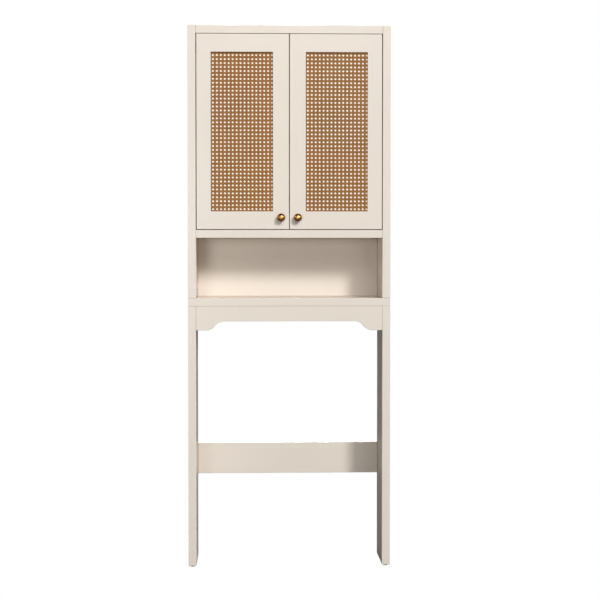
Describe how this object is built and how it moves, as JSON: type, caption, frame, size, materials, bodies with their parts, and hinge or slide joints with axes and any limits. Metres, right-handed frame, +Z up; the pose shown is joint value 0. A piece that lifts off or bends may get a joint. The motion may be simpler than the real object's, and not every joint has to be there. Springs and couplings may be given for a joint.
{
  "type": "over the toilet storage rack",
  "caption": "Tall freestanding storage rack that straddles a toilet: cane-front cabinet with hinged doors over an open shelf, on panel legs with a scalloped apron and rear brace.",
  "frame": {"origin": "bottom centre of the whole rack's bounding box, knobs included, at the level of the floor glides' soles", "axes": "+X to the right seen from the front, +Y towards the wall behind the rack (the doors and knobs face -Y), +Z up"},
  "size_m": [0.635, 0.226, 1.7],
  "materials": {
    "painted_board": "satin",
    "natural_cane": "matt",
    "backing_board": "matt",
    "antique_brass": "satin",
    "nickel_steel": "satin",
    "zinc_screw": "bright",
    "zinc_cam": "matt",
    "white_plastic": "matt",
    "cream_plastic": "matt",
    "ferrite": "matt",
    "beech": "plain"
  },
  "bodies": {
    "carcass": {"adjustable_shelf": "painted_board", "apron_front": "painted_board", "back_panel": "painted_board", "base_board": "painted_board", "cabinet_floor": "painted_board", "cam_bolts": "zinc_screw", "cam_caps": "cream_plastic", "cam_nuts": "zinc_cam", "catch_magnets": "ferrite", "catch_screws": "zinc_screw", "foot_glides_left": "cream_plastic", "foot_glides_right": "cream_plastic", "glide_nails": "zinc_screw", "hinge_arm_left_lower": "nickel_steel", "hinge_arm_left_upper": "nickel_steel", "hinge_arm_right_lower": "nickel_steel", "hinge_arm_right_upper": "nickel_steel", "hinge_arm_screws": "zinc_screw", "hinge_plate_left_lower": "nickel_steel", "hinge_plate_left_upper": "nickel_steel", "hinge_plate_right_lower": "nickel_steel", "hinge_plate_right_upper": "nickel_steel", "hinge_plate_screws": "zinc_screw", "leg_panel_left": "painted_board", "leg_panel_right": "painted_board", "magnetic_catch": "white_plastic", "rear_brace": "painted_board", "shelf_pins": "nickel_steel", "top_panel": "painted_board", "upper_side_left": "painted_board", "upper_side_right": "painted_board", "wall_bracket_left": "zinc_cam", "wall_bracket_right": "zinc_cam", "wall_bracket_screws": "zinc_screw", "wood_dowels": "beech"},
    "left_door": {"backing_beads_left": "painted_board", "backing_board_left": "backing_board", "cane_panel_left": "natural_cane", "door_frame_left": "painted_board", "hinge_cup_left_lower": "nickel_steel", "hinge_cup_left_upper": "nickel_steel", "hinge_cup_screws_left": "zinc_screw", "hinge_pins_left": "nickel_steel", "knob_left": "antique_brass", "knob_screw_left": "zinc_screw", "strike_plate_left": "nickel_steel", "strike_screw_left": "zinc_screw"},
    "right_door": {"backing_beads_right": "painted_board", "backing_board_right": "backing_board", "cane_panel_right": "natural_cane", "door_frame_right": "painted_board", "hinge_cup_right_lower": "nickel_steel", "hinge_cup_right_upper": "nickel_steel", "hinge_cup_screws_right": "zinc_screw", "hinge_pins_right": "nickel_steel", "knob_right": "antique_brass", "knob_screw_right": "zinc_screw", "strike_plate_right": "nickel_steel", "strike_screw_right": "zinc_screw"}
  },
  "joints": [
    {"name": "left_door_hinge", "type": "hinge", "parent": "carcass", "child": "left_door", "pos_m": [-0.2733, -0.079, 1.369], "axis": [0, 0, -1], "range_deg": [0, 95]},
    {"name": "right_door_hinge", "type": "hinge", "parent": "carcass", "child": "right_door", "pos_m": [0.2733, -0.079, 1.369], "axis": [0, 0, 1], "range_deg": [0, 95]}
  ]
}
